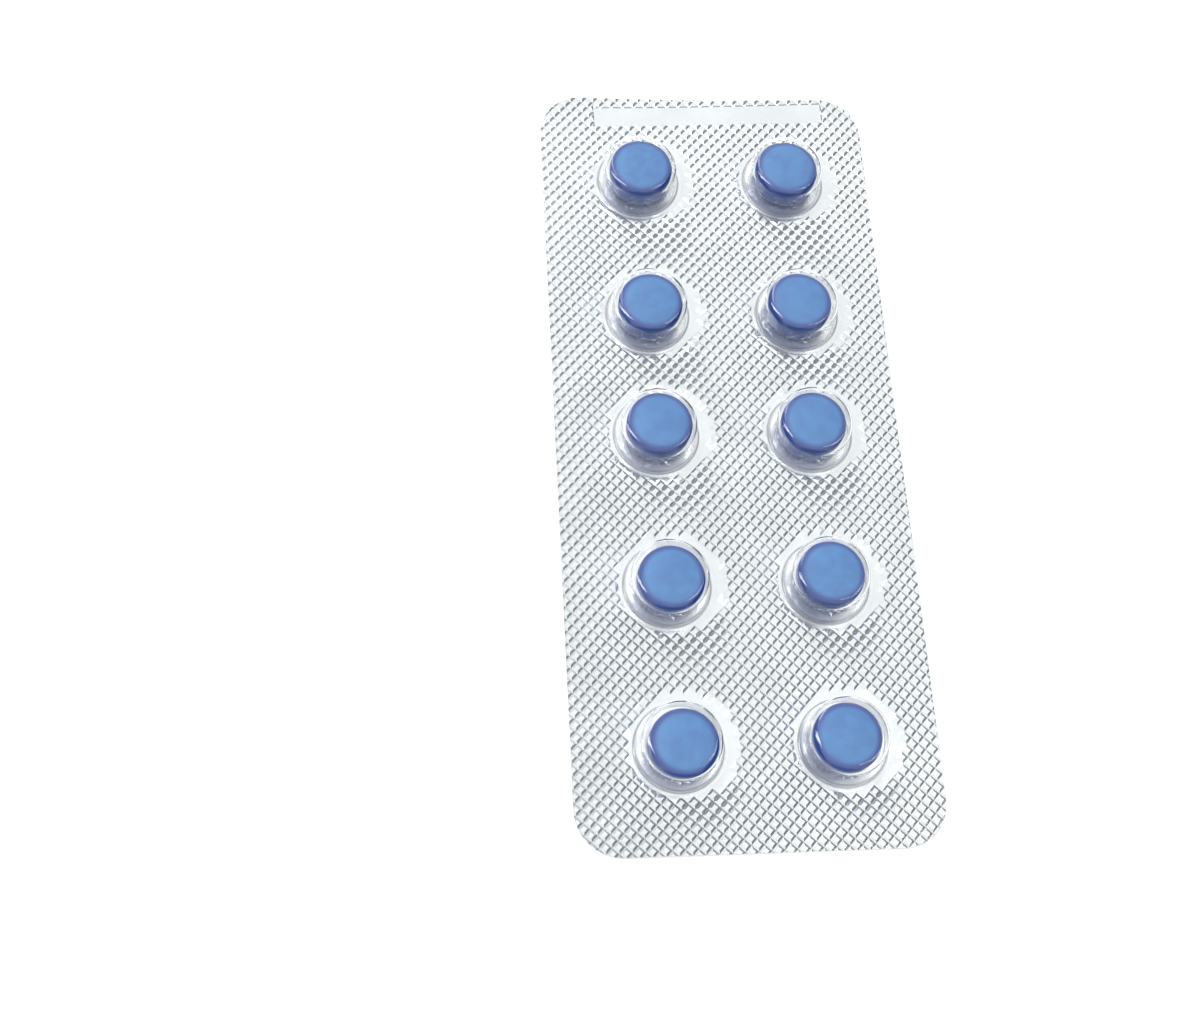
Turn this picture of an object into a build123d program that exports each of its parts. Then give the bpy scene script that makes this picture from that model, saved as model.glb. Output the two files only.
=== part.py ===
"""A blister pack of ten round tablets: clear thermoformed film, foil lidding and the tablets.

Units are millimetres. The pack lies on its foil with the pockets up. +X runs across the pack,
+Y along it towards the end that carries the batch code, +Z up. The origin is the middle of the
foil's underside.
"""

import os
from math import radians, sqrt, tan

from build123d import *

# Outline of the pack
pack_width = 42.5
pack_length = 100.0
corner_radius = 5.5

# Sheets
foil_thickness = 0.03  # hard aluminium with its sealing lacquer
film_thickness = 0.25  # clear film as supplied, and on the flange
pocket_wall = 0.20  # the same film where it is drawn out over a pocket

# Tablet
tablet_diameter = 8.0
tablet_thickness = 4.0
tablet_dome = 0.55  # rise of the shallow cap on each face
tablet_edge_radius = 0.75

# Pocket, sized round the tablet
side_clearance = 0.35  # between tablet and pocket wall, at the ceiling
head_clearance = 0.30
pocket_draft = 6.0  # degrees
shoulder_radius = 1.1  # outside, where the wall turns into the crown
foot_radius = 0.35  # outside, where the wall meets the flange

# Places of the pockets: two columns, five rows, counted from the code end. The outline is cut
# a little off the middle of the pockets, so each margin has its own size.
left_margin = 12.3
right_margin = 11.2
code_end_margin = 12.8
plain_end_margin = 12.2
rows = 5
close_gap = 2  # the second gap between rows, where two forming dies meet, is shorter
close_gap_reduction = 2.9

# Where each tablet has come to rest, as a share of the side clearance, in reading order
tablet_rests = [
    (0.4, 0.6),
    (0.2, 0.5),
    (0.3, 0.3),
    (-0.3, 0.4),
    (0.4, 0.7),
    (0.0, 0.4),
    (0.5, -0.2),
    (0.4, 0.5),
    (0.7, -0.5),
    (-0.3, 0.0),
]

# Heights above the foil's underside
flange_bottom = foil_thickness
flange_top = flange_bottom + film_thickness
pocket_ceiling = flange_bottom + tablet_thickness + head_clearance
pocket_crown = pocket_ceiling + pocket_wall

# Radii of the hollow, which narrows upwards by the draft, and of the bulge round it
draft_slope = tan(radians(pocket_draft))
tablet_radius = tablet_diameter / 2
ceiling_radius = tablet_radius + side_clearance
mouth_radius = ceiling_radius + (pocket_ceiling - flange_bottom) * draft_slope
crown_radius = ceiling_radius + pocket_wall - pocket_wall * draft_slope
bulge_radius = mouth_radius + pocket_wall - film_thickness * draft_slope
foot_disc_radius = bulge_radius + 2 * foot_radius


def pocket_centres():
    """Pocket centres in reading order: row by row from the code end, left column first."""
    columns = [left_margin - pack_width / 2, pack_width / 2 - right_margin]
    row_span = pack_length - code_end_margin - plain_end_margin
    row_pitch = (row_span + close_gap_reduction) / (rows - 1)
    centres = []
    y = pack_length / 2 - code_end_margin
    for row in range(1, rows + 1):
        centres += [(x, y) for x in columns]
        y -= row_pitch
        if row == close_gap:
            y += close_gap_reduction
    return centres


def revolved_pocket(profile, rounded_corners):
    """Solid of revolution about Z of a closed (radius, height) profile with rounded corners."""
    with BuildPart() as pocket:
        with BuildSketch(Plane.XZ) as section:
            with BuildLine():
                Polyline(*profile, close=True)
            make_face()
            for corner, radius in rounded_corners:
                nearest = section.vertices().sort_by_distance(corner)[0]
                fillet(nearest, radius)
        revolve(axis=Axis.Z)
    return pocket.part


def pocket_bulge():
    """Outside of one pocket, standing on a disc of the flange that its foot is rounded into."""
    foot = (bulge_radius, flange_top)
    shoulder = (crown_radius, pocket_crown)
    profile = [
        (0, flange_bottom),
        (foot_disc_radius, flange_bottom),
        (foot_disc_radius, flange_top),
        foot,
        shoulder,
        (0, pocket_crown),
    ]
    return revolved_pocket(profile, [(foot, foot_radius), (shoulder, shoulder_radius)])


def pocket_hollow():
    """Inside of one pocket, flared at its mouth and open to below the film."""
    below = flange_bottom - film_thickness
    mouth = (mouth_radius, flange_bottom)
    shoulder = (ceiling_radius, pocket_ceiling)
    profile = [
        (0, below),
        (foot_disc_radius, below),
        (foot_disc_radius, flange_bottom),
        mouth,
        shoulder,
        (0, pocket_ceiling),
    ]
    rounded_corners = [
        (mouth, foot_radius + film_thickness),
        (shoulder, shoulder_radius - pocket_wall),
    ]
    return revolved_pocket(profile, rounded_corners)


os.makedirs("parts", exist_ok=True)

# Lidding: one flat sheet of foil with the pack's outline
with BuildPart() as lidding_foil:
    with BuildSketch():
        RectangleRounded(pack_width, pack_length, corner_radius)
    extrude(amount=foil_thickness)
lidding_foil.part.label = "lidding_foil"
export_step(lidding_foil.part, "parts/lidding_foil.step")

# Film: a flange of the same outline, with the pockets formed up out of it and open below
bulge = pocket_bulge()
hollow = pocket_hollow()
with BuildPart() as blister_film:
    with BuildSketch(Plane.XY.offset(flange_bottom)):
        RectangleRounded(pack_width, pack_length, corner_radius)
    extrude(amount=film_thickness)
    with Locations(*pocket_centres()):
        add(bulge)
    with Locations(*pocket_centres()):
        add(hollow, mode=Mode.SUBTRACT)
blister_film.part.label = "blister_film"
export_step(blister_film.part, "parts/blister_film.step")

# Tablets: round, with shallow domed faces and a rounded rim, each lying on the foil
rim_height = tablet_thickness / 2 - tablet_dome
dome_sphere = (tablet_radius**2 + tablet_dome**2) / (2 * tablet_dome)
mid_height = rim_height + sqrt(dome_sphere**2 - (tablet_radius / 2) ** 2) - (
    dome_sphere - tablet_dome
)
for number, (centre, rest) in enumerate(zip(pocket_centres(), tablet_rests), start=1):
    x = centre[0] + rest[0] * side_clearance
    y = centre[1] + rest[1] * side_clearance
    middle = Plane((x, y, flange_bottom + tablet_thickness / 2))
    upright = Plane(middle.origin, x_dir=(1, 0, 0), z_dir=(0, -1, 0))
    with BuildPart() as tablet:
        with BuildSketch(upright) as half_section:
            with BuildLine():
                top = (0, tablet_thickness / 2)
                bottom = (0, -tablet_thickness / 2)
                Line(bottom, top)
                ThreePointArc(top, (tablet_radius / 2, mid_height), (tablet_radius, rim_height))
                Line((tablet_radius, rim_height), (tablet_radius, -rim_height))
                ThreePointArc(
                    (tablet_radius, -rim_height), (tablet_radius / 2, -mid_height), bottom
                )
            make_face()
            rim_corners = half_section.vertices().group_by(Axis.X)[-1]
            fillet(rim_corners, tablet_edge_radius)
        revolve(axis=Axis(middle.origin, (0, 0, 1)))
    name = f"tablet_{number:02d}"
    tablet.part.label = name
    export_step(tablet.part, f"parts/{name}.step")
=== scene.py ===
"""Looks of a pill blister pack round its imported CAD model, laid out as a Blender add-on.

Lengths are metres, in the frame of the CAD model: X across the pack, Y along it towards the code
end, Z up. The foil and the film are modelled again with the pattern that the sealing plates press
into them, and the tablets keep their CAD shape and get their coats.
"""

import math

import bpy
import numpy as np
from bpy.props import FloatProperty, FloatVectorProperty, IntProperty, PointerProperty
from mathutils import Matrix, Vector
from mathutils.geometry import delaunay_2d_cdt


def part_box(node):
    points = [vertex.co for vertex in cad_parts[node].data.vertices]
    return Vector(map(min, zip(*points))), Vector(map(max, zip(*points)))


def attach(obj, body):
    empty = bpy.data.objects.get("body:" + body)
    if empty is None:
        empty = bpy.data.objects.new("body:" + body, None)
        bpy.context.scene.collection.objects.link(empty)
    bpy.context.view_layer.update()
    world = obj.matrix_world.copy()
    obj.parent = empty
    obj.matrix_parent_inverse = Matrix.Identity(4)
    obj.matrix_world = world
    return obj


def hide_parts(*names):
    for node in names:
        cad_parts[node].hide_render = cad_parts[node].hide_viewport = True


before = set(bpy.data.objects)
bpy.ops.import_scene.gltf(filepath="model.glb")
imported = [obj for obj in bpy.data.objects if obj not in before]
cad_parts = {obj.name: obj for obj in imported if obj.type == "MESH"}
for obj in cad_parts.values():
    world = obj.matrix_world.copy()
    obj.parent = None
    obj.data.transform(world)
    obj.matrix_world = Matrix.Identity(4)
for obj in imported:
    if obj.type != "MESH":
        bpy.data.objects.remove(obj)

bl_info = {
    "name": "Blister Pack",
    "version": (1, 0, 0),
    "blender": (4, 5, 0),
    "location": "View3D > Sidebar > Blister",
    "description": "Models the sheets, tablets and studio of a pill blister pack",
    "category": "Object",
}

MM = 0.001
TOLERANCE = 0.01 * MM
RIM_CLEARANCE = 0.06 * MM
SHARP_ANGLE = math.radians(13)
QUARTERS = ((1, 1), (-1, 1), (-1, -1), (1, -1))
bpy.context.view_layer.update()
FOIL_LOW, FOIL_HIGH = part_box("lidding_foil")
FILM_LOW, FILM_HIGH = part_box("blister_film")
TABLETS = sorted(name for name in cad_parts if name.startswith("tablet"))


# ---------------------------------------------------------------- places read from the frame


def node_points(node):
    """All vertices of a CAD node."""
    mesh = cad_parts[node].data
    points = np.empty(len(mesh.vertices) * 3, np.float32)
    mesh.vertices.foreach_get("co", points)
    return points.reshape(-1, 3).astype(float)


def tablet_middle(name):
    low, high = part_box(name)
    return (low + high) / 2


def tablet_radius():
    low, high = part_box(TABLETS[0])
    return (high.x - low.x) / 2


def pocket_centres():
    """Centre of each pocket in the order of the tablets, from the flat of its crown."""
    points = node_points("blister_film")
    crown = points[points[:, 2] > FILM_HIGH.z - 0.001 * MM]
    centres = []
    for name in TABLETS:
        middle = tablet_middle(name)
        reach = np.hypot(crown[:, 0] - middle.x, crown[:, 1] - middle.y)
        near = crown[reach < 1.5 * tablet_radius()]
        centres.append((near.min(0) + near.max(0))[:2] / 2)
    return centres


def flange_top():
    """Height of the film's flange, from the corner of the CAD film."""
    points = node_points("blister_film")
    beside = points[points[:, 1] > FILM_HIGH.y - 0.001 * MM]
    return float(beside[:, 2].max())


POCKETS = pocket_centres()
FLANGE_TOP = flange_top()


# ---------------------------------------------------------------- settings


class SealSizes(bpy.types.PropertyGroup):
    """The pattern that the sealing plates leave in foil and film."""

    corner_radius: FloatProperty(
        name="Corner radius", description="Radius of the pack's corners", default=5.5 * MM,
        unit="LENGTH",
    )
    pitch: FloatProperty(
        name="Pitch", description="Distance between two grooves", default=1.05 * MM,
        unit="LENGTH",
    )
    turn: FloatProperty(
        name="Turn", description="Turn of the grooves against the long edge",
        default=math.radians(46.7), subtype="ANGLE",
    )
    groove_half: FloatProperty(
        name="Groove half width", description="From a groove's bottom to the edge of a land",
        default=0.27 * MM, unit="LENGTH",
    )
    foil_relief: FloatProperty(
        name="Foil relief", description="Height of a land over a groove in the foil",
        default=0.14 * MM, unit="LENGTH",
    )
    film_relief: FloatProperty(
        name="Film relief", description="Depth of a groove in the film's upper side",
        default=0.03 * MM, unit="LENGTH",
    )
    halo_radius: FloatProperty(
        name="Halo radius", description="Radius of the smooth ring round a pocket",
        default=5.85 * MM, unit="LENGTH",
    )
    halo_shift: FloatVectorProperty(
        name="Halo shift", description="From a pocket's centre to its smooth ring's",
        default=(0.6 * MM, 0.4 * MM), size=2, unit="LENGTH",
    )
    halo_edge: FloatProperty(
        name="Halo edge", description="Width over which the pattern starts",
        default=0.9 * MM, unit="LENGTH",
    )
    strip_middle: FloatVectorProperty(
        name="Strip middle", description="Middle of the bare strip at the code end",
        default=(1.1 * MM, 47.6 * MM), size=2, unit="LENGTH",
    )
    strip_size: FloatVectorProperty(
        name="Strip size", description="Length and width of the bare strip",
        default=(30.4 * MM, 2.7 * MM), size=2, unit="LENGTH",
    )
    strip_turn: FloatProperty(
        name="Strip turn", description="Turn of the bare strip against the short edge",
        default=math.radians(1.7), subtype="ANGLE",
    )
    corner_lift: FloatProperty(
        name="Corner lift", description="How far the corners of the code end curl up",
        default=0.6 * MM, unit="LENGTH",
    )
    ripple: FloatProperty(
        name="Ripple", description="Height of the gentle waves in the sheets",
        default=0.10 * MM, unit="LENGTH",
    )


class FilmSizes(bpy.types.PropertyGroup):
    """The clear film with its pockets."""

    wall: FloatProperty(
        name="Pocket wall", description="Thickness of the film over a pocket",
        default=0.20 * MM, unit="LENGTH",
    )
    draft: FloatProperty(
        name="Draft", description="Lean of the pocket wall", default=math.radians(6.0),
        subtype="ANGLE",
    )
    side_clearance: FloatProperty(
        name="Side clearance", description="Between tablet and pocket at the ceiling",
        default=0.35 * MM, unit="LENGTH",
    )
    shoulder_radius: FloatProperty(
        name="Shoulder radius", description="Outside, from the wall to the crown",
        default=1.1 * MM, unit="LENGTH",
    )
    foot_radius: FloatProperty(
        name="Foot radius", description="Outside, from the wall to the flange",
        default=0.35 * MM, unit="LENGTH",
    )
    # Painted shade: the grey line round a pocket's foot stands in for the dark edge made by light
    # bending at the curved foot.
    painted_ring_radius: FloatProperty(
        name="Outline radius", description="Radius of the grey line round a pocket's foot",
        default=5.20 * MM, unit="LENGTH",
    )
    ring_steps: IntProperty(
        name="Ring steps", description="Faces round a pocket", default=72, min=24,
    )
    seal_gap: FloatProperty(
        name="Seal gap", description="Kept between film and foil", default=0.004 * MM,
        unit="LENGTH",
    )


class Finish(bpy.types.PropertyGroup):
    """Colours and gloss."""

    foil_colour: FloatVectorProperty(
        name="Foil", description="Colour of the bright foil", default=(0.93, 0.94, 0.945),
        size=3, subtype="COLOR",
    )
    foil_roughness: FloatProperty(
        name="Foil roughness", description="Blur of the foil's reflections", default=0.22,
    )
    tablet_colour: FloatVectorProperty(
        name="Tablet", description="Colour of the tablet's coat", default=(0.045, 0.25, 0.60),
        size=3, subtype="COLOR",
    )
    # Painted shade: darker blue round the tablet's edge, where its rounded sides turn away from
    # the light.
    tablet_painted_edge_shade: FloatVectorProperty(
        name="Tablet edge", description="Coat round the edge", default=(0.008, 0.06, 0.33),
        size=3, subtype="COLOR",
    )
    tablet_shade: FloatVectorProperty(
        name="Tablet shade", description="Darker patches of the coat",
        default=(0.03, 0.17, 0.48), size=3, subtype="COLOR",
    )


class StageSettings(bpy.types.PropertyGroup):
    """Camera and light."""

    camera_place: FloatVectorProperty(
        name="Camera", description="Where the camera stands",
        default=(-38.5 * MM, -85.8 * MM, 189.1 * MM), size=3, unit="LENGTH",
    )
    camera_right: FloatVectorProperty(
        name="Camera right", description="Direction of the picture's right side",
        default=(0.994, -0.054, 0.095), size=3, subtype="DIRECTION",
    )
    camera_view: FloatVectorProperty(
        name="Camera view", description="Direction in which the camera looks",
        default=(0.108, 0.376, -0.920), size=3, subtype="DIRECTION",
    )
    lens: FloatProperty(name="Lens", description="Focal length in millimetres", default=51.75)
    sky: FloatProperty(name="Sky", description="Strength of the soft light", default=1.08)


# ---------------------------------------------------------------- node trees


class Value:
    """A socket in a node tree. Sums and products of values add Math nodes."""

    def __init__(self, graph, socket):
        self.graph = graph
        self.socket = socket

    def math(self, operation, *others):
        inputs = dict(enumerate([self, *others]))
        return self.graph.value("ShaderNodeMath", {"operation": operation}, inputs)

    def __add__(self, other):
        return self.math("ADD", other)

    def __sub__(self, other):
        return self.math("SUBTRACT", other)

    def __mul__(self, other):
        return self.math("MULTIPLY", other)

    def __truediv__(self, other):
        return self.math("DIVIDE", other)

    def __rsub__(self, other):
        return self * -1.0 + other

    __radd__ = __add__
    __rmul__ = __mul__

    def __abs__(self):
        return self.math("ABSOLUTE")

    def least(self, other):
        return self.math("MINIMUM", other)

    def most(self, other):
        return self.math("MAXIMUM", other)

    def ramp(self, start, end):
        """0 before start and 1 after end, with a smooth rise between; end may be below start."""
        settings = {"interpolation_type": "SMOOTHSTEP"}
        inputs = {"Value": self, "From Min": start, "From Max": end}
        return self.graph.value("ShaderNodeMapRange", settings, inputs)


class Graph:
    """Adds nodes to one node tree and links them."""

    def __init__(self, tree):
        self.tree = tree

    def node(self, kind, settings=None, inputs=None):
        """Adds a node, sets it up and fills its sockets with numbers, colours or links."""
        node = self.tree.nodes.new(kind)
        for key, setting in (settings or {}).items():
            setattr(node, key, setting)
        for key, given in (inputs or {}).items():
            target = node.inputs[key]
            if isinstance(given, Value):
                self.tree.links.new(given.socket, target)
            else:
                target.default_value = given
        return node

    def value(self, kind, settings=None, inputs=None, output=0):
        """As node, and returns one of its outputs as a Value."""
        return Value(self, self.node(kind, settings, inputs).outputs[output])

    def xyz(self, vector):
        node = self.node("ShaderNodeSeparateXYZ", None, {0: vector})
        return [Value(self, node.outputs[i]) for i in range(3)]

    def mix(self, factor, first, second):
        """Colour between first and second."""
        settings = {"data_type": "RGBA"}
        inputs = {"Factor": factor, 6: first, 7: second}
        return self.value("ShaderNodeMix", settings, inputs, output=2)

    def noise(self, vector, scale, detail=2.0, roughness=0.5):
        inputs = {"Vector": vector, "Scale": scale, "Detail": detail, "Roughness": roughness}
        return self.value("ShaderNodeTexNoise", {"noise_dimensions": "3D"}, inputs)


def new_material(name):
    """An empty material, its graph and the object coordinates."""
    material = bpy.data.materials.new(name)
    material.use_nodes = True
    material.node_tree.nodes.clear()
    graph = Graph(material.node_tree)
    place = graph.value("ShaderNodeTexCoord", output="Object")
    return material, graph, place


def from_axes(graph, place, centres):
    """Distance from the nearest of the upright axes through the centres."""
    x, y, _ = graph.xyz(place)
    nearest = None
    for centre in centres:
        dx, dy = x - float(centre[0]), y - float(centre[1])
        away = (dx * dx + dy * dy).math("SQRT")
        nearest = away if nearest is None else nearest.least(away)
    return nearest


def show(graph, surface):
    """Links a shader to the material's output."""
    graph.node("ShaderNodeOutputMaterial", None, {"Surface": surface})


def rgba(colour):
    return (colour[0], colour[1], colour[2], 1.0)


# ---------------------------------------------------------------- the pattern of the seal


def smooth_rise(amount):
    amount = np.clip(amount, 0.0, 1.0)
    return amount * amount * (3.0 - 2.0 * amount)


def away_from_pockets(points, radius, shift=(0.0, 0.0)):
    """Distance of each point outside the nearest circle of that radius round a pocket."""
    gaps = [
        np.hypot(points[:, 0] - x - shift[0], points[:, 1] - y - shift[1]) - radius
        for x, y in POCKETS
    ]
    return np.min(gaps, axis=0)


def away_from_strip(points, seal):
    """Distance of each point outside the bare strip, below 0 on it."""
    turn = seal.strip_turn
    dx = points[:, 0] - seal.strip_middle[0]
    dy = points[:, 1] - seal.strip_middle[1]
    along = np.abs(dx * math.cos(turn) + dy * math.sin(turn)) - seal.strip_size[0] / 2
    across = np.abs(dy * math.cos(turn) - dx * math.sin(turn)) - seal.strip_size[1] / 2
    return np.maximum(along, across)


def lattice_axes(seal):
    """The two directions in which the grooves run."""
    cosine, sine = math.cos(seal.turn), math.sin(seal.turn)
    return np.array([cosine, sine]), np.array([-sine, cosine])


def cell_middles(points, seal):
    """Middle of the pattern's square cell that each point lies in."""
    along, across = lattice_axes(seal)
    u = np.floor(points @ along / seal.pitch) + 0.5
    v = np.floor(points @ across / seal.pitch) + 0.5
    return seal.pitch * (u[:, None] * along + v[:, None] * across)


def seal_share(points, seal, join_radius):
    """1 where the plates press the full pattern, 0 round the pockets and on the bare strip."""
    middles = cell_middles(points, seal)
    start = away_from_pockets(middles, seal.halo_radius, seal.halo_shift)
    share = smooth_rise(start / seal.halo_edge)
    share *= smooth_rise((away_from_pockets(points, join_radius) - TOLERANCE) / (0.25 * MM))
    return share * smooth_rise(away_from_strip(points, seal) / (0.15 * MM))


def sheet_lift(points, seal):
    """How far foil and film rise together: curled corners at the code end and gentle waves."""
    x, y = points[:, 0], points[:, 1]
    half_width, end = FOIL_HIGH.x, FOIL_HIGH.y
    start = end - 7.0 * MM
    towards_end = np.clip((y - start) / (end - start), 0.0, 1.0)
    curl = seal.corner_lift * towards_end**2 * (x / half_width) ** 2
    wave = np.sin(x / (5.3 * MM) + 0.4) * np.sin(y / (6.1 * MM) + x / (23.0 * MM))
    free = smooth_rise(away_from_pockets(points, 6.0 * MM) / (4.0 * MM))
    return curl + seal.ripple * free * (1.0 + wave) / 2


def rounded_outline(half_width, half_length, radius, steps):
    """Corners of the pack's outline, anticlockwise."""
    outline = []
    for quarter, (sx, sy) in enumerate(QUARTERS):
        for step in range(steps + 1):
            angle = math.pi / 2 * (quarter + step / steps)
            x = sx * (half_width - radius) + radius * math.cos(angle)
            y = sy * (half_length - radius) + radius * math.sin(angle)
            outline.append((x, y))
    return outline


def circle(centre, radius, steps):
    angles = [2 * math.pi * step / steps for step in range(steps)]
    return [
        (centre[0] + radius * math.cos(angle), centre[1] + radius * math.sin(angle))
        for angle in angles
    ]


def strip_outline(seal):
    turn = Matrix.Rotation(seal.strip_turn, 2)
    half = Vector(seal.strip_size) / 2
    middle = Vector(seal.strip_middle)
    return [tuple(middle + turn @ Vector((half.x * sx, half.y * sy))) for sx, sy in QUARTERS]


class Plan:
    """Flat drawing of the sheets: points and the lines that the triangles keep to."""

    def __init__(self):
        self.points = []
        self.lines = set()
        self.known = {}

    def point(self, place):
        key = (round(place[0] * 1e8), round(place[1] * 1e8))
        if key not in self.known:
            self.known[key] = len(self.points)
            self.points.append(place)
        return self.known[key]

    def line(self, first, second):
        ends = self.point(first), self.point(second)
        self.lines.add((min(ends), max(ends)))

    def loop(self, corners):
        for first, second in zip(corners, corners[1:] + corners[:1]):
            self.line(first, second)


def draw_cells(plan, seal, join_radius):
    """Adds each square cell of the pattern: groove lines, edge of its land, mitres."""
    pitch = seal.pitch
    along, across = lattice_axes(seal)
    half_width, half_length = FOIL_HIGH.x, FOIL_HIGH.y
    count = int(math.hypot(half_width, half_length) / pitch) + 1
    index = np.arange(-count, count)
    i, j = (grid.ravel() + 0.5 for grid in np.meshgrid(index, index))
    middles = pitch * (i[:, None] * along + j[:, None] * across)
    keep = np.abs(middles[:, 0]) < half_width + 0.6 * pitch
    keep &= np.abs(middles[:, 1]) < half_length + 0.6 * pitch
    keep &= away_from_pockets(middles, seal.halo_radius, seal.halo_shift) > -0.6 * pitch
    keep &= away_from_pockets(middles, join_radius) > -0.6 * pitch
    keep &= away_from_strip(middles, seal) > -0.6 * pitch
    reaches = [0.5 * pitch, 0.5 * pitch - seal.groove_half]
    for middle in middles[keep]:
        squares = [
            [middle + reach * (sx * along + sy * across) for sx, sy in QUARTERS]
            for reach in reaches
        ]
        near = nearest_pocket(middle)
        lines = [pair for corners in squares for pair in zip(corners, corners[1:] + corners[:1])]
        for first, second in lines + list(zip(*squares)):
            line_outside(plan, first, second, near, join_radius + RIM_CLEARANCE)


def nearest_pocket(place):
    return min(POCKETS, key=lambda centre: math.dist(centre, place))


def line_outside(plan, first, second, centre, radius):
    """Adds the part of a short line that lies outside a circle."""
    if math.dist(first, centre) < radius:
        first, second = second, first
    if math.dist(first, centre) < radius:
        return
    if math.dist(second, centre) < radius:
        step = second - first
        from_centre = first - centre
        half = from_centre @ step
        root = math.sqrt(half**2 - (step @ step) * (from_centre @ from_centre - radius**2))
        second = first + step * (-half - root) / (step @ step)
    plan.line(tuple(first), tuple(second))


def sheet_triangles(seal, film):
    """Flat triangles of the sealed sheets: points, triangles and which lie under a pocket."""
    join_radius = pocket_radii(film)["join"]
    outline = rounded_outline(FOIL_HIGH.x, FOIL_HIGH.y, seal.corner_radius, 16)
    plan = Plan()
    plan.loop(outline)
    plan.loop(strip_outline(seal))
    for x, y in POCKETS:
        plan.loop(circle((x, y), join_radius, film.ring_steps))
    draw_cells(plan, seal, join_radius)
    scaled = [Vector(place) / MM for place in plan.points]
    points, _, triangles, _, _, _ = delaunay_2d_cdt(
        scaled, sorted(plan.lines), [], 0, 1e-5
    )
    points = np.array(points) * MM
    triangles = np.array(triangles)
    middles = points[triangles].mean(axis=1)
    inside = outside_outline(middles, seal) < 0
    triangles, middles = triangles[inside], middles[inside]
    return points, triangles, away_from_pockets(middles, join_radius) < 0


def outside_outline(points, seal):
    """Distance of each point outside the rounded outline."""
    inner = np.array([FOIL_HIGH.x, FOIL_HIGH.y]) - seal.corner_radius
    reach = np.abs(points) - inner
    corner = np.hypot(*np.maximum(reach, 0.0).T)
    return corner + np.minimum(reach.max(axis=1), 0.0) - seal.corner_radius


def rim_edges(triangles):
    """Edges that only one triangle uses, each in its triangle's direction."""
    edges = np.concatenate([triangles[:, [0, 1]], triangles[:, [1, 2]], triangles[:, [2, 0]]])
    keys = np.sort(edges, axis=1)
    _, first, counts = np.unique(keys, axis=0, return_index=True, return_counts=True)
    return edges[first[counts == 1]]


class Shell:
    """Collects the vertices and faces of one mesh, with what the pattern does to each vertex."""

    def __init__(self):
        self.places = []
        self.rises = []
        self.sinks = []
        self.faces = []
        self.total = 0

    def add(self, places, rises=None, sinks=None):
        """Adds vertices and returns the number of the first."""
        first = self.total
        flat = np.zeros(len(places))
        self.places.append(np.asarray(places))
        self.rises.append(flat if rises is None else rises)
        self.sinks.append(flat if sinks is None else sinks)
        self.total += len(places)
        return first

    def mesh(self, name):
        """A mesh with the point attributes rise and sink."""
        mesh = bpy.data.meshes.new(name)
        mesh.from_pydata(np.concatenate(self.places), [], self.faces)
        for key, given in (("rise", self.rises), ("sink", self.sinks)):
            attribute = mesh.attributes.new(key, "FLOAT", "POINT")
            attribute.data.foreach_set("value", np.concatenate(given).astype(np.float32))
        mesh.update()
        return mesh


def sheet_sides(shell, points, triangles, upper, lower):
    """Adds a sheet's two sides; upper and lower are (heights, rises, sinks)."""
    used, triangles = np.unique(triangles, return_inverse=True)
    triangles = triangles.reshape(-1, 3)
    firsts = []
    for heights, rises, sinks in (upper, lower):
        places = np.column_stack([points[used], heights[used]])
        firsts.append(shell.add(places, rises[used], sinks[used]))
    shell.faces += (triangles + firsts[0]).tolist()
    shell.faces += (triangles[:, ::-1] + firsts[1]).tolist()
    return used, triangles, firsts


def close_rim(shell, edges, firsts):
    """Joins the two sides of a sheet along edges."""
    upper, lower = firsts
    for start, end in edges:
        shell.faces.append((start + upper, start + lower, end + lower, end + upper))


def emboss_tree():
    """Geometry nodes that press the square pattern into a flat sheet drawn on its lattice."""
    tree = bpy.data.node_groups.new("emboss_seal", "GeometryNodeTree")
    socket = tree.interface.new_socket
    socket("Geometry", in_out="INPUT", socket_type="NodeSocketGeometry")
    socket("Pitch", in_out="INPUT", socket_type="NodeSocketFloat")
    socket("Turn", in_out="INPUT", socket_type="NodeSocketFloat")
    socket("Groove Half Width", in_out="INPUT", socket_type="NodeSocketFloat")
    socket("Material", in_out="INPUT", socket_type="NodeSocketMaterial")
    socket("Geometry", in_out="OUTPUT", socket_type="NodeSocketGeometry")
    graph = Graph(tree)
    given = graph.node("NodeGroupInput")
    sheet, pitch, turn, half, material = (Value(graph, given.outputs[i]) for i in range(5))
    x, y, _ = graph.xyz(graph.value("GeometryNodeInputPosition"))
    cosine, sine = turn.math("COSINE"), turn.math("SINE")
    heights = []
    for steps in ((x * cosine + y * sine) / pitch, (y * cosine - x * sine) / pitch):
        from_groove = (0.5 - abs(steps.math("FRACT") - 0.5)) * pitch
        heights.append(from_groove / half)
    land = heights[0].least(heights[1]).least(1.0)
    named = [
        graph.value("GeometryNodeInputNamedAttribute", {"data_type": "FLOAT"}, {"Name": name})
        for name in ("rise", "sink")
    ]
    offset = land * named[0] - (1.0 - land) * named[1]
    vector = graph.value("ShaderNodeCombineXYZ", None, {"Z": offset})
    moved = graph.value("GeometryNodeSetPosition", None, {"Geometry": sheet, "Offset": vector})
    plain = moved
    for name in ("rise", "sink"):
        plain = graph.value("GeometryNodeRemoveAttribute", None, {0: plain, "Name": name})
    real = graph.value("GeometryNodeRealizeInstances", None, {0: plain})
    done = graph.value("GeometryNodeSetMaterial", None, {"Geometry": real, "Material": material})
    graph.node("NodeGroupOutput", None, {0: done})
    return tree


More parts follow.
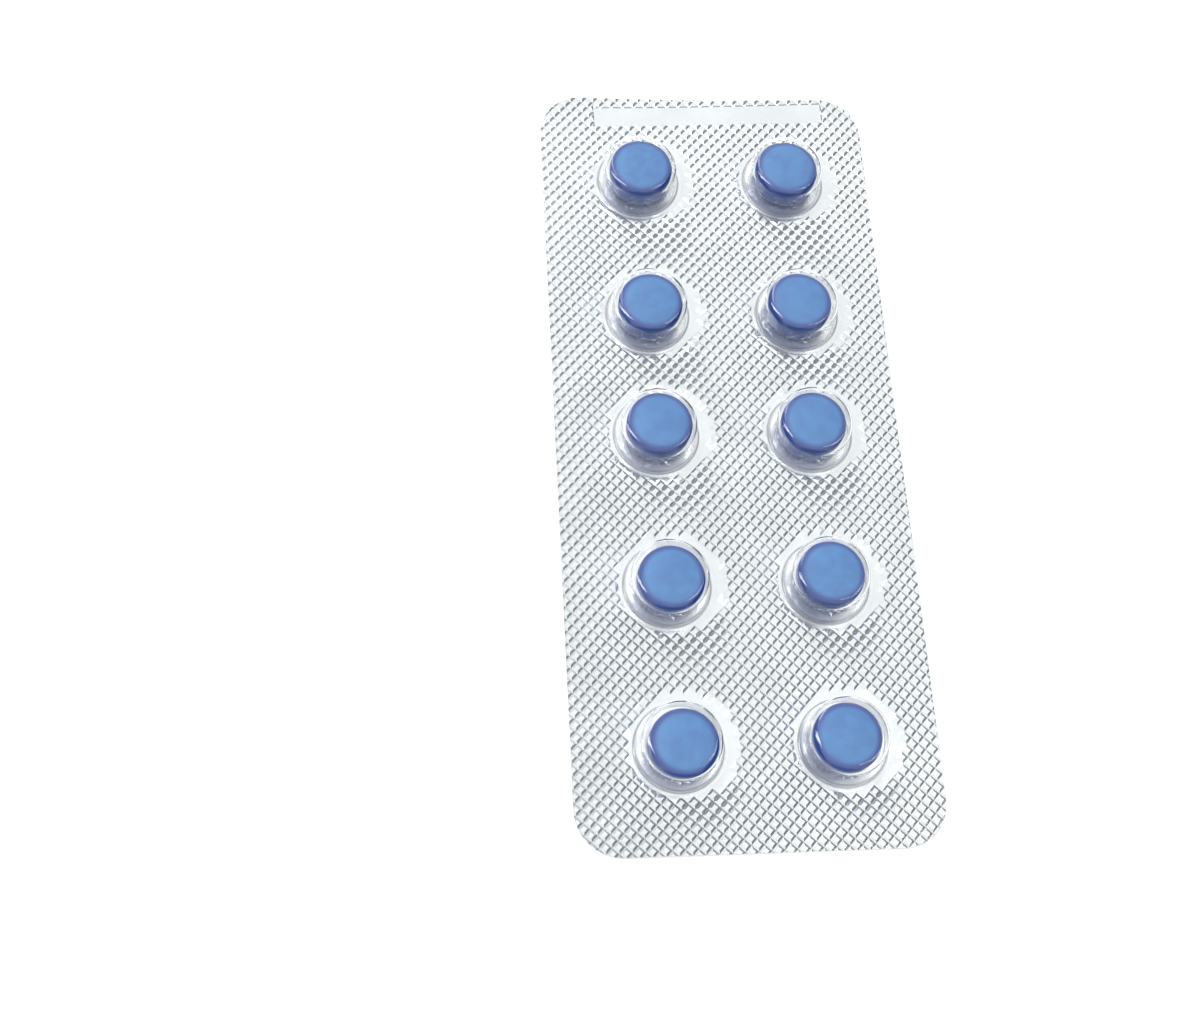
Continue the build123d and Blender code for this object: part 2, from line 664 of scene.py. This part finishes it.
def embossed(name, mesh, seal, material):
    """An object whose mesh has been through the embossing nodes."""
    tree = bpy.data.node_groups.get("emboss_seal") or emboss_tree()
    piece = bpy.data.objects.new(name, mesh)
    bpy.context.scene.collection.objects.link(piece)
    modifier = piece.modifiers.new("Emboss", "NODES")
    modifier.node_group = tree
    settings = {
        "Pitch": seal.pitch,
        "Turn": seal.turn,
        "Groove Half Width": seal.groove_half,
        "Material": material,
    }
    for item in tree.interface.items_tree:
        if item.in_out == "INPUT" and item.name in settings:
            modifier[item.identifier] = settings[item.name]
    evaluated = piece.evaluated_get(bpy.context.evaluated_depsgraph_get())
    baked = bpy.data.meshes.new_from_object(evaluated)
    piece.modifiers.clear()
    piece.data = baked
    baked.name = name
    return piece


def smooth_except(mesh, angle):
    """Smooth shading, with the edges over that angle kept sharp."""
    mesh.shade_smooth()
    mesh.set_sharp_from_angle(angle=angle)


# ---------------------------------------------------------------- foil


def foil_material(finish):
    """Bright aluminium under a clear lacquer, duller where it closes the pockets."""
    material, graph, place = new_material("bright_foil")
    streaks = graph.value(
        "ShaderNodeMapping", None, {"Vector": place, "Scale": (1.0, 0.08, 1.0)}
    )
    rolled = graph.noise(streaks, 9000.0, detail=3.0)
    cloud = graph.noise(place, 160.0, detail=3.0)
    dull = from_axes(graph, place, POCKETS).ramp(5.6 * MM, 5.2 * MM)
    roughness = rolled * 0.06 + cloud * 0.06 + dull * 0.10 + (finish.foil_roughness - 0.06)
    metallic = 0.80 + dull * 0.05
    dim = tuple(channel * 0.94 for channel in finish.foil_colour)
    colour = graph.mix(cloud.ramp(0.35, 0.70), rgba(dim), rgba(finish.foil_colour))
    bump = graph.value(
        "ShaderNodeBump", None, {"Strength": 0.04, "Distance": 0.01 * MM, "Height": rolled}
    )
    surface = graph.value(
        "ShaderNodeBsdfPrincipled", None,
        {"Base Color": colour, "Metallic": metallic, "Roughness": roughness, "Normal": bump},
    )
    show(graph, surface)
    return material


class BLISTER_OT_foil(bpy.types.Operator):
    """Models the lidding foil with its pressed pattern"""

    bl_idname = "blister.foil"
    bl_label = "Make Foil"

    def execute(self, context):
        seal, film = context.scene.blister_seal, context.scene.blister_film
        points, triangles, _ = sheet_triangles(seal, film)
        lift = sheet_lift(points, seal)
        share = seal_share(points, seal, pocket_radii(film)["join"])
        flat = np.zeros(len(points))
        rise = seal.foil_relief * share
        shell = Shell()
        _, packed, firsts = sheet_sides(
            shell, points, triangles,
            (lift + FOIL_HIGH.z, rise, flat),
            (lift + FOIL_LOW.z, rise, flat),
        )
        close_rim(shell, rim_edges(packed), firsts)
        material = foil_material(context.scene.blister_finish)
        piece = embossed("foil_sheet", shell.mesh("foil_sheet"), seal, material)
        smooth_except(piece.data, SHARP_ANGLE)
        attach(piece, "root")
        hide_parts("lidding_foil")
        return {"FINISHED"}


# ---------------------------------------------------------------- film


def pocket_radii(film):
    """Radii and heights of a pocket, worked out as the CAD film's are."""
    slope = math.tan(film.draft)
    low, ceiling = FILM_LOW.z, FILM_HIGH.z - film.wall
    at_ceiling = tablet_radius() + film.side_clearance
    mouth = at_ceiling + (ceiling - low) * slope
    bulge = mouth + film.wall - (FLANGE_TOP - low) * slope
    return {
        "ceiling": at_ceiling,
        "mouth": mouth,
        "crown": at_ceiling + film.wall - film.wall * slope,
        "bulge": bulge,
        "join": bulge + 2 * film.foot_radius,
        "ceiling_height": ceiling,
    }


def rounded_corner(before, corner, after, radius, steps):
    """Points of the arc that rounds a corner of a profile."""
    before, corner, after = Vector(before), Vector(corner), Vector(after)
    back = (before - corner).normalized()
    ahead = (after - corner).normalized()
    half = back.angle(ahead) / 2
    middle = corner + (back + ahead).normalized() * (radius / math.sin(half))
    start = corner + back * (radius / math.tan(half)) - middle
    sweep = start.angle_signed(corner + ahead * (radius / math.tan(half)) - middle)
    arc = []
    for step in range(steps + 1):
        turn = Matrix.Rotation(-sweep * step / steps, 2)
        arc.append(tuple(middle + turn @ start))
    return arc


def film_profiles(film):
    """Outer and inner profile of a pocket as (radius, height), from the flange to the middle."""
    sizes = pocket_radii(film)
    low, top = FILM_LOW.z + film.seal_gap, FILM_HIGH.z
    join = sizes["join"]
    outer_foot = (sizes["bulge"], FLANGE_TOP)
    outer_shoulder = (sizes["crown"], top)
    inner_foot = (sizes["mouth"], low)
    inner_shoulder = (sizes["ceiling"], sizes["ceiling_height"])
    flange_film = FLANGE_TOP - FILM_LOW.z
    outer = rounded_corner((join, FLANGE_TOP), outer_foot, outer_shoulder, film.foot_radius, 8)
    outer += wall_points(outer[-1], outer_shoulder, 3)
    outer += rounded_corner(outer_foot, outer_shoulder, (0, top), film.shoulder_radius, 12)
    inner = rounded_corner(
        (join, low), inner_foot, inner_shoulder, film.foot_radius + flange_film, 8
    )
    inner += wall_points(inner[-1], inner_shoulder, 2)
    inner += rounded_corner(
        inner_foot, inner_shoulder, (0, inner_shoulder[1]), film.shoulder_radius - film.wall, 10
    )
    return outer + crown_points(outer[-1], 7), inner + crown_points(inner[-1], 4)


def wall_points(start, end, count):
    """Points up a straight wall, without its ends; the shoulder takes the last third."""
    shares = [(step + 1) / (count + 1) * 0.7 for step in range(count)]
    return [tuple(Vector(start).lerp(Vector(end), share)) for share in shares]


def crown_points(start, count):
    """Rings of the flat crown between its rim and its middle."""
    return [(start[0] * (1 - step / count), start[1]) for step in range(1, count)]


def add_pocket(shell, centre, profile, rim, steps, inward):
    """Adds one side of a pocket from the flange's rim vertices to the middle of its crown."""
    angles = 2 * math.pi * np.arange(steps) / steps
    rings = [rim]
    for radius, height in profile:
        ring = np.column_stack([
            centre[0] + radius * np.cos(angles),
            centre[1] + radius * np.sin(angles),
            np.full(steps, height),
        ])
        first = shell.add(ring)
        rings.append(list(range(first, first + steps)))
    tip = shell.add([(centre[0], centre[1], profile[-1][1])])
    for outer, inner in zip(rings, rings[1:]):
        for step in range(steps):
            after = (step + 1) % steps
            face = (outer[step], outer[after], inner[after], inner[step])
            shell.faces.append(face[::-1] if inward else face)
    for step in range(steps):
        face = (rings[-1][step], rings[-1][(step + 1) % steps], tip)
        shell.faces.append(face[::-1] if inward else face)


def film_material(film):
    """Clear glossy film, which bends light only in the pockets, with painted shade as a grey line
    round their foot.
    """
    material, graph, place = new_material("clear_film")
    haze = graph.noise(place, 900.0, detail=2.0)
    away = from_axes(graph, place, POCKETS)
    # Painted shade: a grey ring in the film's colour round each pocket's foot, in place of the
    # dark edge made by light bending at the curved foot.
    inside, outside = film.painted_ring_radius - 0.22 * MM, film.painted_ring_radius + 0.20 * MM
    ring = away.ramp(inside, inside + 0.18 * MM) * away.ramp(outside, outside - 0.16 * MM)
    painted_ring_tint = graph.mix(ring, (0.97, 0.98, 0.985, 1.0), (0.42, 0.42, 0.43, 1.0))
    bump = graph.value(
        "ShaderNodeBump", None, {"Strength": 0.10, "Distance": 0.01 * MM, "Height": haze}
    )
    glass = graph.value(
        "ShaderNodeBsdfPrincipled", None,
        {
            "Base Color": painted_ring_tint,
            "Roughness": 0.03,
            "IOR": 1.5,
            "Transmission Weight": 1.0,
            "Normal": bump,
        },
    )
    seen_through = graph.value(
        "ShaderNodeBsdfTransparent", None, {"Color": (0.97, 0.98, 0.985, 1.0)}
    )
    gloss = graph.value(
        "ShaderNodeBsdfGlossy", None, {"Color": (1.0, 1.0, 1.0, 1.0), "Roughness": 0.06}
    )
    fresnel = graph.value("ShaderNodeFresnel", None, {"IOR": 1.5})
    mirrored = fresnel * (1.0 - graph.value("ShaderNodeNewGeometry", output="Backfacing"))
    clear = graph.value(
        "ShaderNodeMixShader", None, {0: mirrored, 1: seen_through, 2: gloss}
    )
    path = graph.node("ShaderNodeLightPath")
    shadow, diffuse, glossy, through = (
        Value(graph, path.outputs[f"Is {kind} Ray"])
        for kind in ("Shadow", "Diffuse", "Glossy", "Transmission")
    )
    unbent = shadow.most(diffuse).most(glossy - through)
    unbent = unbent.most(away.math("GREATER_THAN", pocket_radii(film)["join"]))
    show(graph, graph.value("ShaderNodeMixShader", None, {0: unbent, 1: glass, 2: clear}))
    return material


class BLISTER_OT_film(bpy.types.Operator):
    """Models the clear film: pressed flange and ten pockets"""

    bl_idname = "blister.film"
    bl_label = "Make Film"

    def execute(self, context):
        seal, film = context.scene.blister_seal, context.scene.blister_film
        points, triangles, under_pocket = sheet_triangles(seal, film)
        lift = sheet_lift(points, seal)
        share = seal_share(points, seal, pocket_radii(film)["join"])
        flat = np.zeros(len(points))
        shell = Shell()
        used, packed, firsts = sheet_sides(
            shell, points, triangles[~under_pocket],
            (lift + FLANGE_TOP, flat, seal.film_relief * share),
            (lift + FILM_LOW.z + film.seal_gap, seal.foil_relief * share, flat),
        )
        rims = rim_edges(packed)
        outer, inner = film_profiles(film)
        steps = film.ring_steps
        places = points[used]
        join = pocket_radii(film)["join"]
        at_pocket = away_from_pockets(places, join + TOLERANCE) < 0
        close_rim(shell, rims[~at_pocket[rims].all(axis=1)], firsts)
        for x, y in POCKETS:
            near = np.flatnonzero(np.hypot(places[:, 0] - x, places[:, 1] - y) < join + TOLERANCE)
            angles = np.arctan2(places[near, 1] - y, places[near, 0] - x)
            order = near[np.argsort(np.mod(angles + 1e-4, 2 * math.pi))]
            if len(order) != steps:
                raise RuntimeError(f"a pocket's rim has {len(order)} points, not {steps}")
            add_pocket(shell, (x, y), outer, [int(k) + firsts[0] for k in order], steps, False)
            add_pocket(shell, (x, y), inner, [int(k) + firsts[1] for k in order], steps, True)
        piece = embossed("film_shell", shell.mesh("film_shell"), seal, film_material(film))
        smooth_except(piece.data, SHARP_ANGLE)
        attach(piece, "root")
        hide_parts("blister_film")
        return {"FINISHED"}


# ---------------------------------------------------------------- tablets


def tablet_material(finish):
    """Satin film coat, mottled on the face, with painted shade round the edge where the rounded
    sides turn away from the light.
    """
    material, graph, place = new_material("blue_coat")
    blotch = graph.noise(place, 480.0, detail=4.0, roughness=0.65)
    grain = graph.noise(place, 4200.0, detail=3.0, roughness=0.6)
    away = from_axes(graph, place, [tablet_middle(name) for name in TABLETS])
    tone = blotch.ramp(0.38, 0.62) * 0.55 + grain.ramp(0.3, 0.7) * 0.45
    face = graph.mix(tone, rgba(finish.tablet_shade), rgba(finish.tablet_colour))
    # Painted shade: this mask darkens the coat round each tablet's rim, where the rounded sides
    # face away from the light.
    edge = (away + (grain - 0.5) * 0.3 * MM).ramp(2.95 * MM, 3.60 * MM)
    colour = graph.mix(edge, face, rgba(finish.tablet_painted_edge_shade))
    bump = graph.value(
        "ShaderNodeBump", None, {"Strength": 0.35, "Distance": 0.02 * MM, "Height": grain}
    )
    surface = graph.value(
        "ShaderNodeBsdfPrincipled", None,
        {"Base Color": colour, "Roughness": 0.42, "Normal": bump},
    )
    show(graph, surface)
    return material


class BLISTER_OT_tablets(bpy.types.Operator):
    """Coats the tablets"""

    bl_idname = "blister.tablets"
    bl_label = "Coat Tablets"

    def execute(self, context):
        material = tablet_material(context.scene.blister_finish)
        for name in TABLETS:
            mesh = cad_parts[name].data
            mesh.materials.clear()
            mesh.materials.append(material)
        return {"FINISHED"}


# ---------------------------------------------------------------- stage


def add_lamp(name, place, target, size, power):
    """A rectangular soft lamp that faces the target."""
    lamp = bpy.data.lights.new(name, "AREA")
    lamp.shape = "RECTANGLE"
    lamp.size, lamp.size_y = size
    lamp.energy = power
    holder = bpy.data.objects.new(name, lamp)
    bpy.context.scene.collection.objects.link(holder)
    holder.location = place
    holder.rotation_euler = (Vector(target) - Vector(place)).to_track_quat("-Z", "Y").to_euler()


def floor_material():
    """Pale floor, lifted to white by a little light of its own that leaves the shadow."""
    material, graph, _ = new_material("pale_floor")
    plain = graph.value("ShaderNodeBsdfDiffuse", None, {"Color": (0.80, 0.80, 0.80, 1.0)})
    glow = graph.value("ShaderNodeEmission", None, {"Strength": 0.3})
    both = graph.value("ShaderNodeAddShader", None, {0: plain, 1: glow})
    show(graph, both)
    return material


def build_world(strength):
    """White studio: bright above and behind, dark to the right, greyer to the left."""
    world = bpy.data.worlds.new("studio")
    world.use_nodes = True
    world.node_tree.nodes.clear()
    graph = Graph(world.node_tree)
    east, north, _ = graph.xyz(graph.value("ShaderNodeTexCoord", output="Generated"))
    dark_east = east.ramp(0.50, 0.62) * (1.0 - north.ramp(0.80, 0.92)) * 0.97
    grey_west = east.ramp(-0.36, -0.50) * north.ramp(-0.22, -0.05) * 0.60
    low_west = east.ramp(-0.58, -0.74) * 0.92
    south = north.ramp(-0.55, -0.85) * 0.80
    path = graph.node("ShaderNodeLightPath")
    seen = Value(graph, path.outputs["Is Camera Ray"])
    shade = dark_east.most(grey_west).most(low_west).most(south)
    light = (1.0 - shade) * strength * (1.0 - seen) + seen
    background = graph.value(
        "ShaderNodeBackground", None, {"Color": (1.0, 1.0, 1.0, 1.0), "Strength": light}
    )
    graph.node("ShaderNodeOutputWorld", None, {"Surface": background})
    bpy.context.scene.world = world


class BLISTER_OT_stage(bpy.types.Operator):
    """Sets up floor, light and camera"""

    bl_idname = "blister.stage"
    bl_label = "Set Stage"

    def execute(self, context):
        settings = context.scene.blister_stage
        scene = context.scene
        scene.view_settings.view_transform = "Standard"
        mesh = bpy.data.meshes.new("floor")
        reach, below = 3.0, -0.05 * MM
        corners = [(sx * reach, sy * reach, below) for sx, sy in QUARTERS]
        mesh.from_pydata(corners, [], [(0, 1, 2, 3)])
        mesh.materials.append(floor_material())
        floor = bpy.data.objects.new("floor", mesh)
        scene.collection.objects.link(floor)
        build_world(settings.sky)
        add_lamp("window", (-0.50, 0.11, 0.85), (0, 0, 0), (0.16, 0.60), 3.0)
        add_lamp("key", (-0.25, 0.60, 0.9), (0, 0, 0), (0.35, 0.35), 1.5)
        add_lamp("panel", (0.42, 0.02, 0.90), (0, 0, 0), (0.16, 0.30), 0.7)
        camera = bpy.data.cameras.new("camera")
        camera.lens = settings.lens
        camera.sensor_width = 36.0
        camera.clip_start = 0.01
        holder = bpy.data.objects.new("camera", camera)
        scene.collection.objects.link(holder)
        right = Vector(settings.camera_right)
        view = Vector(settings.camera_view).normalized()
        right = (right - right.dot(view) * view).normalized()
        up = right.cross(view)
        turn = Matrix((right, up, -view)).transposed().to_4x4()
        holder.matrix_world = Matrix.Translation(Vector(settings.camera_place)) @ turn
        scene.camera = holder
        return {"FINISHED"}


# ---------------------------------------------------------------- panel and run


class BLISTER_PT_panel(bpy.types.Panel):
    """Lists the steps in the order in which they are run"""

    bl_idname = "BLISTER_PT_panel"
    bl_label = "Blister Pack"
    bl_space_type = "VIEW_3D"
    bl_region_type = "UI"
    bl_category = "Blister"

    def draw(self, context):
        for operator in (BLISTER_OT_stage, BLISTER_OT_foil, BLISTER_OT_film, BLISTER_OT_tablets):
            self.layout.operator(operator.bl_idname)


SETTINGS = {
    "blister_seal": SealSizes,
    "blister_film": FilmSizes,
    "blister_finish": Finish,
    "blister_stage": StageSettings,
}
CLASSES = (
    *SETTINGS.values(),
    BLISTER_OT_foil,
    BLISTER_OT_film,
    BLISTER_OT_tablets,
    BLISTER_OT_stage,
    BLISTER_PT_panel,
)


def register():
    for item in CLASSES:
        bpy.utils.register_class(item)
    for name, group in SETTINGS.items():
        setattr(bpy.types.Scene, name, PointerProperty(type=group))


def unregister():
    for name in SETTINGS:
        delattr(bpy.types.Scene, name)
    for item in reversed(CLASSES):
        bpy.utils.unregister_class(item)


def main():
    register()
    bpy.ops.blister.stage()
    bpy.ops.blister.foil()
    bpy.ops.blister.film()
    bpy.ops.blister.tablets()


if __name__ == "__main__":
    main()
